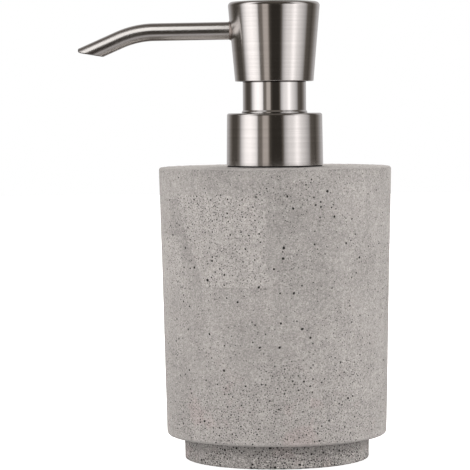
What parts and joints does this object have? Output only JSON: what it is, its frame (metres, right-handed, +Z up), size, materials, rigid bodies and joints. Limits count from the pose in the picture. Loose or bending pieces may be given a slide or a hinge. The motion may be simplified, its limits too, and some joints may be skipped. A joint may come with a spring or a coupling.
{
  "type": "soap pump dispenser",
  "caption": "Cylindrical cast-concrete soap dispenser with a recessed foot and a steel press-down pump with a swivelling bent spout.",
  "frame": {"origin": "centre of the underside of the foot pad, on the dispenser's own axis", "axes": "+Z up along the dispenser's axis, -X towards the spout"},
  "size_m": [0.1074, 0.08, 0.1575],
  "materials": {
    "concrete": "cast, fine, pitted",
    "foot_concrete": "cast, denser pits",
    "pad_rubber": "matte foam rubber",
    "washer_rubber": "matte",
    "liner_plastic": "natural polyethylene",
    "pump_plastic": "moulded polypropylene",
    "gasket_foam": "foamed polyethylene",
    "spring_steel": "drawn stainless wire",
    "tube_plastic": "extruded polyethylene",
    "brushed_steel": "brushed around the axis",
    "cap_plastic": "moulded",
    "polished_steel": "polished stainless",
    "piston_plastic": "low density polyethylene",
    "ball_steel": "polished ball",
    "spout_steel": "finely polished along its length",
    "weld_steel": "welded, faint heat tint"
  },
  "bodies": {
    "vessel": {"concrete_body": "concrete", "concrete_base": "foot_concrete", "foot_pad": "pad_rubber", "neck_washer": "washer_rubber", "inner_bottle": "liner_plastic"},
    "pump_frame": {"pump_housing": "pump_plastic", "housing_gasket": "gasket_foam", "stem_guide": "pump_plastic", "ball_cage": "pump_plastic", "return_spring": "spring_steel", "dip_tube": "tube_plastic"},
    "collar": {"collar_shell": "brushed_steel", "closure_cap": "cap_plastic", "sleeve": "polished_steel"},
    "plunger": {"valve_rod": "pump_plastic"},
    "piston": {"piston": "piston_plastic"},
    "inlet_ball": {"inlet_ball": "ball_steel"},
    "head": {"stem": "pump_plastic", "head_shell": "brushed_steel", "head_top_disc": "brushed_steel", "head_core": "cap_plastic", "spout_tube": "spout_steel", "spout_liner": "tube_plastic", "spout_weld": "weld_steel"}
  },
  "joints": [
    {"name": "pump_rise", "type": "slide", "parent": "vessel", "child": "pump_frame", "axis": [0, 0, 1], "range_m": [0, 0.0053]},
    {"name": "collar_turn", "type": "hinge", "parent": "pump_frame", "child": "collar", "pos_m": [0, 0, 0.1045], "axis": [0, 0, 1], "range_deg": [0, 450]},
    {"name": "head_press", "type": "slide", "parent": "pump_frame", "child": "plunger", "axis": [0, 0, -1], "range_m": [0, 0.01], "stiffness_N_per_m": 900, "springref_m": -0.0089, "deforming": ["return_spring"]},
    {"name": "head_swivel", "type": "hinge", "parent": "plunger", "child": "head", "pos_m": [0, 0, 0.12], "axis": [0, 0, 1], "continuous": true},
    {"name": "piston_float", "type": "slide", "parent": "plunger", "child": "piston", "axis": [0, 0, 1], "range_m": [0, 0.001]},
    {"name": "ball_lift", "type": "slide", "parent": "pump_frame", "child": "inlet_ball", "axis": [0, 0, 1], "range_m": [0, 0.0015]}
  ],
  "couplings": [
    {"joint": "pump_rise", "follows": "collar_turn", "m_per_rad": 0.0006737}
  ]
}
